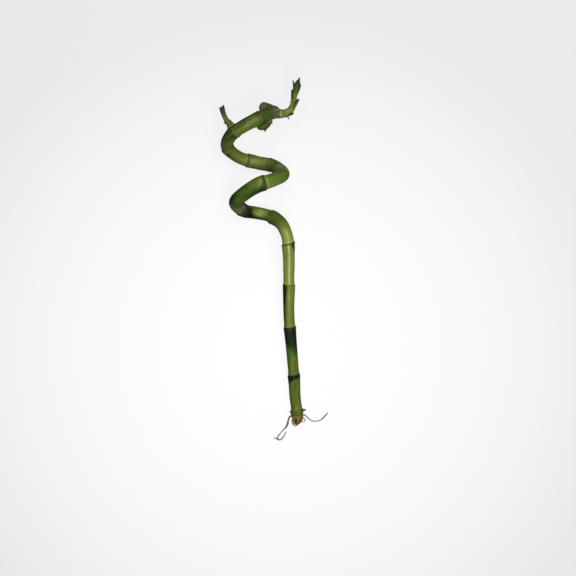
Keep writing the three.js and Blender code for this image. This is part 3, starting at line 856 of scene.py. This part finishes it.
def bud_mesh(route, girth, bud):
    """A pointed bud that lies against the cane just beyond its node."""
    distance = NODES[bud["node"]]["at"] + bud["length"] * 0.3
    centre, forward, out, _ = route.at(distance, bud["facing"])
    seat = centre + out * (girth(distance) - BUD_SINK)
    base = seat - forward * bud["length"] / 2
    tip = seat + forward * bud["length"] / 2 + out * BUD_LIFT
    line = Route([tuple(base), tuple((base + tip) / 2), tuple(tip)], out, Vector())
    mesh = turned_rod(
        steps(0, line.length, BUD_STEP), lambda d: along(BUD_OUTLINE, d / line.length), BUD_SIDES)
    bmesh.ops.scale(mesh, vec=(bud["proud"] + BUD_SINK, BUD_WIDTH, 1), verts=mesh.verts)

    def look(distance, angle, way):
        share = distance / line.length
        ridged = 0.5 + 0.5 * math.sin(angle * 5)
        return dict(
            shade=0.45 + 0.3 * share + 0.15 * ridged, brown=bud["brown"] * (0.4 + 0.6 * share), dull=0.6,
        )

    return bend(mesh, line, look)


class StalkBuildCane(bpy.types.Operator):
    """Builds the cane with its node rings, uneven skin and dormant buds"""

    bl_idname = "stalk.build_cane"
    bl_label = "Cane"

    def execute(self, context):
        settings = context.scene.stalk_cane
        route = Route(CANE_ROUTE)

        def girth(distance):
            to_end = min(distance, route.length - distance)
            rounding = min(1, max(0, 1 - to_end / END_ROUNDING))
            return along(CANE_GIRTH, distance) * math.sqrt(1 - END_DRAW_IN * rounding ** 2)

        cane = turned_rod(cane_rings(route.length), girth, settings.sides)
        bend(cane, route, cane_look, cane_relief(settings))
        buds = [bud_mesh(route, girth, bud) for bud in BUDS]
        finish_piece("cane_skin", [cane, *buds], living_cane(settings), "cane")
        return {"FINISHED"}


# Shoots

class StalkShootSettings(bpy.types.PropertyGroup):
    thickness: length_property("Leaf thickness", "Thickness of the clasping leaves", 0.6 * MM, 0.2 * MM)
    cut_dryness: length_property(
        "Dry cut", "How far a cut leaf has dried back from its edge", 1.2 * MM, 0.1 * MM)
    leaf: colour_property("Leaf", "Green of the clasping leaves", 0x42591f)


LEAF_COLUMNS = 14
LEAF_ROW = 0.6
LEAF_SINK = 0.9
EDGE_THINNING = 0.55
CUT_THINNING = 0.2
KEEL_HEIGHT = 0.22
KEEL_REACH = 0.16
RAGGED_CUT = 0.25
LEAF_DULL = 0.5
CUT_BROWN = 0.3


def leaf_mesh(route, girth, leaf, shoot, thickness, dryness):
    """What trimming left of a leaf: a curved blade that clasps the stem and lifts to its cut."""
    length = leaf["end"] - leaf["start"]
    mesh = new_mesh()
    rows = max(4, round(length / LEAF_ROW))
    bmesh.ops.create_grid(mesh, x_segments=LEAF_COLUMNS, y_segments=rows, size=1)
    bmesh.ops.solidify(mesh, geom=mesh.faces[:], thickness=thickness)
    straight = mesh.verts.layers.float_vector["straight"]
    facing = math.radians(leaf["turn"])
    for vertex in mesh.verts:
        across, share, depth = vertex.co.x, (vertex.co.y + 1) / 2, vertex.co.z / thickness
        ragged = RAGGED_CUT * noise.noise(Vector((across * 2.3, leaf["turn"], leaf["start"])))
        distance = leaf["start"] + length * share + ragged * smooth((share - 0.6) / 0.4)
        distance -= leaf["slant"] * across * share ** 2
        centre, _, out, side = route.at(distance, UP)
        clasp = girth(leaf["start"]) + thickness / 2 - LEAF_SINK * (1 - share)
        width = spread(leaf["widths"], share)
        thinned = 1 - EDGE_THINNING * abs(across) ** 3 - CUT_THINNING * share
        keel = KEEL_HEIGHT * bell(across, KEEL_REACH) * (1 - 0.5 * share)
        spine = clasp + leaf["lift"] * share ** 2
        curl = clasp * (1 + leaf["open"] * share)
        reach = curl + (0.5 + depth) * thickness * thinned + keel
        angle = across * width / curl
        away = out * math.cos(facing) + side * math.sin(facing)
        aside = side * math.cos(facing) - out * math.sin(facing)
        vertex[straight] = Vector((across * width, depth, distance)) * MM
        vertex.co = centre + away * (spine - curl + reach * math.cos(angle)) + aside * reach * math.sin(angle)
        edge = 0.3 * abs(across) ** 3 - 0.1 * bell(across, 0.2)
        cut = bell((1 - share) * length, dryness)
        paint_corner(
            mesh, vertex, shade=shoot["deep"] + 0.012 * leaf["start"] + 0.6 * share ** 2 + edge,
            brown=shoot["aged"] + CUT_BROWN * cut, dull=LEAF_DULL,
        )
    bmesh.ops.recalc_face_normals(mesh, faces=mesh.faces)
    return mesh


SPIKE_STEP = 0.4
SPIKE_SIDES = 12


def spike_mesh(spike):
    """A torn leaf edge that stands off as a thin spike."""
    line = Route([spike["start"], spike["end"]])

    def girth(distance):
        return spike["thick"] * (1 - 0.5 * distance / line.length)

    def look(distance, angle, way):
        share = distance / line.length
        return dict(shade=0.75 + 0.2 * share, brown=0.15 * smooth(share), dull=LEAF_DULL)

    return bend(turned_rod(steps(0, line.length, SPIKE_STEP), girth, SPIKE_SIDES), line, look)


# How far the stem starts inside its scale, and the rims that the sheaths leave around it.
STEM_INSIDE = 2.5
STEM_STEP = 0.6
STEM_SIDES = 30
RIM_HEIGHT = 0.22
RIM_REACH = 0.45
STEM_UNEVEN = 0.12


def stem_mesh(route, girth, shoot):
    """A young stem wrapped in sheaths, whose rims show as low steps around it."""
    rims = [leaf["start"] for leaf in shoot["leaves"]]

    def relief(distance, angle, way):
        rim = sum(RIM_HEIGHT * bell(distance - at, RIM_REACH) for at in rims)
        return rim + STEM_UNEVEN * around(angle, 1, distance / 4)

    def look(distance, angle, way):
        rim = sum(bell(distance - at, RIM_REACH) for at in rims)
        mottled = 0.2 * around(angle, 1.3, distance / 7)
        return dict(
            shade=shoot["deep"] + 0.05 + 0.35 * rim + mottled, brown=shoot["aged"] + 0.1 * rim, dull=0.4,
        )

    rings = steps(shoot["scale"]["end"] - STEM_INSIDE, route.length, STEM_STEP)
    return bend(turned_rod(rings, girth, STEM_SIDES), route, look, relief)


class StalkBuildShoots(bpy.types.Operator):
    """Builds the three young shoots with their sheaths and cut leaves"""

    bl_idname = "stalk.build_shoots"
    bl_label = "Shoots"

    def execute(self, context):
        settings = context.scene.stalk_shoots
        material = young_leaf(settings)
        thickness = settings.thickness / MM
        dryness = settings.cut_dryness / MM
        for name, shoot in SHOOTS.items():
            route = Route(shoot["route"])
            girth = partial(along, shoot["girth"])
            meshes = [stem_mesh(route, girth, shoot)]
            meshes += [
                leaf_mesh(route, girth, leaf, shoot, thickness, dryness) for leaf in shoot["leaves"]
            ]
            meshes += [spike_mesh(spike) for spike in shoot["spikes"]]
            finish_piece(f"{name}_leaves", meshes, material, name)
        return {"FINISHED"}


# Bud scales

class StalkScaleSettings(bpy.types.PropertyGroup):
    fray: length_property("Fray", "How far the scale's torn rim wanders", 0.9 * MM)
    tan: colour_property("Scale", "Tan of the dry scales", 0x8c7a44)


SCALE_STEP = 0.3
SCALE_SIDES = 48
SCALE_FOLDS = 9
FOLD_HEIGHT = 0.16

# In shares of a scale's length: where its torn rim starts to wander and where it draws in, by how
# much; and at, reach and height of the welt around its foot and of the groove beyond it.
TORN_FROM = 0.55
RIM_AT, RIM_DRAWN_IN = 0.86, 0.7
WELT = (0.15, 0.09, 0.25)
GROOVE = (0.42, 0.07, -0.22)


def scale_mesh(route, scale, fray):
    """A dry collar around a shoot's foot, with folds along it and a torn rim."""
    low, high = scale["thick"]

    def share_of(distance):
        return (distance - scale["start"]) / (scale["end"] - scale["start"])

    def girth(distance):
        share = share_of(distance)
        return low + (high - low) * share - RIM_DRAWN_IN * smooth((share - RIM_AT) / (1 - RIM_AT))

    def relief(distance, angle, way):
        folds = FOLD_HEIGHT * math.sin(angle * SCALE_FOLDS + distance) + 0.14 * around(angle, 2, distance / 2)
        rings = sum(height * bell(share_of(distance) - at, reach) for at, reach, height in (WELT, GROOVE))
        return folds + rings

    def look(distance, angle, way):
        share = share_of(distance)
        ring = bell(share - 0.3, 0.16)
        return dict(
            shade=0.25 + scale["dark"] + 0.6 * ring + 0.3 * smooth((share - 0.8) / 0.2),
            dull=spread(scale["green"], smooth((share - 0.45) / 0.4)),
        )

    mesh = turned_rod(steps(scale["start"], scale["end"], SCALE_STEP), girth, SCALE_SIDES)
    for vertex in mesh.verts:
        tear = around(math.atan2(vertex.co.y, vertex.co.x), 2.2, low)
        vertex.co.z += fray * tear * smooth((share_of(vertex.co.z) - TORN_FROM) / (1 - TORN_FROM))
    return bend(mesh, route, look, relief)


class StalkBuildScales(bpy.types.Operator):
    """Builds the dry bud scale around each shoot's foot"""

    bl_idname = "stalk.build_scales"
    bl_label = "Bud scales"

    def execute(self, context):
        settings = context.scene.stalk_scales
        material = dry_scale(settings)
        for name, shoot in SHOOTS.items():
            mesh = scale_mesh(Route(shoot["route"]), shoot["scale"], settings.fray / MM)
            finish_piece(f"{name}_scale_skin", [mesh], material, f"{name}_scale")
        return {"FINISHED"}


# Roots

class StalkRootSettings(bpy.types.PropertyGroup):
    thick: length_property(
        "Root thickness", "Radius of a root where it leaves the crown", 0.85 * MM, 0.2 * MM)
    tip: length_property("Root tip", "Radius of a root at its tip", 0.45 * MM, 0.1 * MM)
    short_roots: bpy.props.IntProperty(
        name="Short roots", description="Thick short roots around the crown", default=12, min=3, max=40,
    )
    fine_roots: bpy.props.IntProperty(
        name="Fine roots", description="Thin roots between the short ones", default=26, min=0, max=60,
    )
    tan: colour_property("Root", "Tan of the root skin", 0x8a6c36)


CROWN_RADIUS = 6.1
CROWN_LENGTH = 3.6
CROWN_DROP = 0.8
CROWN_LUMPS = [(0.45, 1.6), (0.3, 0.7)]
ROOT_STEP = 0.45
ROOT_SIDES = 10
ROOT_KNOBS = 0.22

# The short roots leave the crown's rim, bow outward and curl in under it: the circle that they
# leave, how far out they are along the way in shares of it, their length, and how far they lean.
SHORT_ROOT_CIRCLE = 4.9
SHORT_ROOT_BOW = (0.8, 1.04, 1.04, 0.76, 0.26)
SHORT_ROOT_LENGTH = 8.2
SHORT_ROOT_LEAN = -3.4
SHORT_ROOT_TWIST = 0.5

# The fine roots between them are shorter and thinner, leave from further in and twist more.
FINE_ROOT_SHARE = 0.85
FINE_ROOT_TWIST = 1.1

# Where the numbers start that tell the fine roots and the long ones from the short.
FINE_SEED = 40
LONG_SEED = 80


def root_mesh(points, thick, seed, place=Vector(), deep=0.3, grey=0):
    """A root along points, with its radius from foot to tip and a wandering knobbly skin."""
    line = Route(points, UP, place)

    def girth(distance):
        return spread(thick, distance / line.length)

    def relief(distance, angle, way):
        return girth(distance) * ROOT_KNOBS * around(angle, 1, distance / 1.5 + seed * 7)

    def look(distance, angle, way):
        share = distance / line.length
        patch = 0.35 * noise.noise(Vector((seed, distance / 5, 0)))
        return dict(shade=deep + patch - 0.1 * share, dull=1, bloom=grey * smooth(share * 6))

    return bend(turned_rod(steps(0, line.length, ROOT_STEP), girth, ROOT_SIDES), line, look, relief)


def short_root_points(route, index, count, circle, length, twist):
    """The centreline of one of a count of short roots, evenly spread but each bent its own way."""
    centre, forward, out, side = route.at(0, UP)
    wander = math.sin(index * 2.4)
    points = []
    for i, bow in enumerate(SHORT_ROOT_BOW):
        share = i / (len(SHORT_ROOT_BOW) - 1)
        swept = index / count * math.tau + share * (twist + 0.4 * wander)
        point = centre + (out * math.cos(swept) + side * math.sin(swept)) * bow * circle
        point -= forward * (CROWN_DROP + length * (1 + 0.18 * wander) * share)
        point.x += SHORT_ROOT_LEAN * share ** 2
        points.append(tuple(point))
    return points


def crown_mesh(route):
    """The corky crown that the roots break from."""
    mesh = new_mesh()
    bmesh.ops.create_uvsphere(mesh, u_segments=48, v_segments=28, radius=CROWN_RADIUS)
    bmesh.ops.scale(mesh, vec=(1, 1, CROWN_LENGTH / CROWN_RADIUS), verts=mesh.verts)
    centre, forward, out, side = route.at(0, UP)
    seat = centre - forward * CROWN_DROP
    straight = mesh.verts.layers.float_vector["straight"]
    for vertex in mesh.verts:
        lump = sum(height * noise.noise(vertex.co / size) for height, size in CROWN_LUMPS)
        vertex[straight] = vertex.co * MM
        upper = smooth((vertex.co.z / CROWN_LENGTH + 0.75) / 0.9)
        paint_corner(mesh, vertex, shade=0.45 - 0.9 * lump, brown=0.85 * upper, dull=1)
        place = vertex.co * (1 + (lump - 0.25) * 0.1)
        vertex.co = seat + out * place.x + side * place.y + forward * place.z
    return mesh


class StalkBuildRoots(bpy.types.Operator):
    """Builds the crown, the brush of short roots and the long roots"""

    bl_idname = "stalk.build_roots"
    bl_label = "Roots"

    def execute(self, context):
        settings = context.scene.stalk_roots
        thick, tip = settings.thick / MM, settings.tip / MM
        route = Route(CANE_ROUTE)
        meshes = [crown_mesh(route)]
        for index in range(settings.short_roots):
            points = short_root_points(
                route, index, settings.short_roots, SHORT_ROOT_CIRCLE, SHORT_ROOT_LENGTH, SHORT_ROOT_TWIST)
            meshes.append(root_mesh(points, (thick, tip * 1.2), index, deep=0.2 + 0.22 * (index % 3)))
        for index in range(settings.fine_roots):
            circle = SHORT_ROOT_CIRCLE * (0.45 + 0.5 * ((index * 0.37) % 1))
            length = SHORT_ROOT_LENGTH * FINE_ROOT_SHARE
            points = short_root_points(
                route, index + 0.5, settings.fine_roots, circle, length, FINE_ROOT_TWIST)
            deep = 0.1 + 0.6 * (index % 2)
            meshes.append(root_mesh(points, (thick * 0.6, tip * 0.7), index + FINE_SEED, deep=deep))
        for index, root in enumerate(LONG_ROOTS):
            meshes.append(root_mesh(
                root["points"], root["thick"], index + LONG_SEED, MIDDLE, root["deep"], root["grey"]))
        finish_piece("root_tangle", meshes, root_skin(settings), "roots")
        return {"FINISHED"}


# Stage

class StalkStageSettings(bpy.types.PropertyGroup):
    floor_size: length_property("Floor size", "Width of the flat of the floor", 5, 0.5)
    floor_colour: colour_property("Floor colour", "Colour of the table under the light", 0x606060)
    floor_glow: bpy.props.FloatProperty(
        name="Floor glow", description="Strength of the light through the floor", default=0.87, min=0,
    )
    lamp_power: bpy.props.FloatProperty(
        name="Lamp power", description="Power that the soft lamps overhead share",
        default=10.5, min=0, unit="POWER", subtype="POWER",
    )
    lamp_height: length_property("Lamp height", "Height of the soft lamps above the floor", 0.95, 0.2)
    fill: bpy.props.FloatProperty(
        name="Fill light", description="Strength of the even light from all around", default=0.12, min=0,
    )


# The floor turns up into a wall all round, so that no view shows its rim. out, up: in curve radii.
BACKDROP_CURVE = 2
BACKDROP_PROFILE = [(0, 0), (0.38, 0.08), (0.71, 0.29), (0.92, 0.62), (1, 1), (1, 3)]
BACKDROP_SIDES = 64

# The camera looks straight down on the stalk from a distance, as if it stood before it.
VIEW_CENTRE = Vector((0.01405, -0.0284, 0))
VIEW_HEIGHT = 3.025
VIEW_LIMIT = 20
SENSOR = 36
FOCAL_LENGTH = 187.5

# The soft lamps overhead: how far aside of the view's middle and how wide, in metres, and the
# power of each as a share of the one set. The small one draws the bright streak along the shaft.
LAMPS = [
    dict(name="wide lamp", aside=(0.08, 0.42), size=0.8, share=0.58),
    dict(name="streak lamp", aside=(0.12, -0.22), size=0.5, share=0.5),
]


def floor_mesh(radius):
    """A round floor with a wall that curves up from it."""
    mesh = bmesh.new()
    wall = [(radius + out * BACKDROP_CURVE, up * BACKDROP_CURVE) for out, up in BACKDROP_PROFILE]
    spin_profile(mesh, [(0, 0), *wall], BACKDROP_SIDES)
    return mesh


def add_lamp(name, place, size, power):
    data = bpy.data.lights.new(name, "AREA")
    data.shape = "DISK"
    data.size = size
    data.energy = power
    lamp = bpy.data.objects.new(name, data)
    bpy.context.scene.collection.objects.link(lamp)
    lamp.location = place
    lamp.rotation_euler = (VIEW_CENTRE - place).to_track_quat("-Z", "Y").to_euler()
    lamp.visible_camera = False


class StalkBuildStage(bpy.types.Operator):
    """Adds the lit table, the soft lamps and the camera that looks down on the stalk"""

    bl_idname = "stalk.build_stage"
    bl_label = "Stage"

    def execute(self, context):
        settings = context.scene.stalk_stage
        scene = context.scene
        floor = add_object("floor", floor_mesh(settings.floor_size / 2), lit_table(settings))
        floor.visible_diffuse = False
        floor.visible_glossy = False
        for lamp in LAMPS:
            place = VIEW_CENTRE + Vector((*lamp["aside"], settings.lamp_height))
            add_lamp(lamp["name"], place, lamp["size"], lamp["share"] * settings.lamp_power)
        world = bpy.data.worlds.new("studio")
        world.use_nodes = True
        set_inputs(world.node_tree, world.node_tree.nodes["Background"], {
            "Color": linear(0xf4f4f4), "Strength": settings.fill,
        })
        scene.world = world
        camera = bpy.data.objects.new("camera", bpy.data.cameras.new("camera"))
        scene.collection.objects.link(camera)
        camera.location = VIEW_CENTRE + UP * VIEW_HEIGHT
        camera.data.sensor_width = SENSOR
        camera.data.lens = FOCAL_LENGTH
        camera.data.clip_end = VIEW_LIMIT
        scene.camera = camera
        scene.view_settings.view_transform = "Standard"
        return {"FINISHED"}


# Panel and registration

class StalkPanel(bpy.types.Panel):
    """Lists the operators that build the stalk, with their settings"""

    bl_idname = "VIEW3D_PT_stalk"
    bl_label = "Lucky bamboo stalk"
    bl_space_type = "VIEW_3D"
    bl_region_type = "UI"
    bl_category = "Stalk"

    def draw(self, context):
        for operator, group in BUILDERS:
            box = self.layout.box()
            box.operator(operator.bl_idname)
            settings = getattr(context.scene, group)
            for name in type(settings).__annotations__:
                box.prop(settings, name)


BUILDERS = [
    (StalkBuildStage, "stalk_stage"),
    (StalkBuildCane, "stalk_cane"),
    (StalkBuildShoots, "stalk_shoots"),
    (StalkBuildScales, "stalk_scales"),
    (StalkBuildRoots, "stalk_roots"),
]

GROUPS = {
    "stalk_stage": StalkStageSettings,
    "stalk_cane": StalkCaneSettings,
    "stalk_shoots": StalkShootSettings,
    "stalk_scales": StalkScaleSettings,
    "stalk_roots": StalkRootSettings,
}


def register():
    for name, group in GROUPS.items():
        bpy.utils.register_class(group)
        setattr(bpy.types.Scene, name, bpy.props.PointerProperty(type=group))
    for operator, _ in BUILDERS:
        bpy.utils.register_class(operator)
    bpy.utils.register_class(StalkPanel)


def unregister():
    bpy.utils.unregister_class(StalkPanel)
    for operator, _ in reversed(BUILDERS):
        bpy.utils.unregister_class(operator)
    for name, group in reversed(GROUPS.items()):
        delattr(bpy.types.Scene, name)
        bpy.utils.unregister_class(group)


def main():
    register()
    bpy.ops.stalk.build_stage()
    bpy.ops.stalk.build_cane()
    bpy.ops.stalk.build_shoots()
    bpy.ops.stalk.build_scales()
    bpy.ops.stalk.build_roots()


if __name__ == "__main__":
    main()
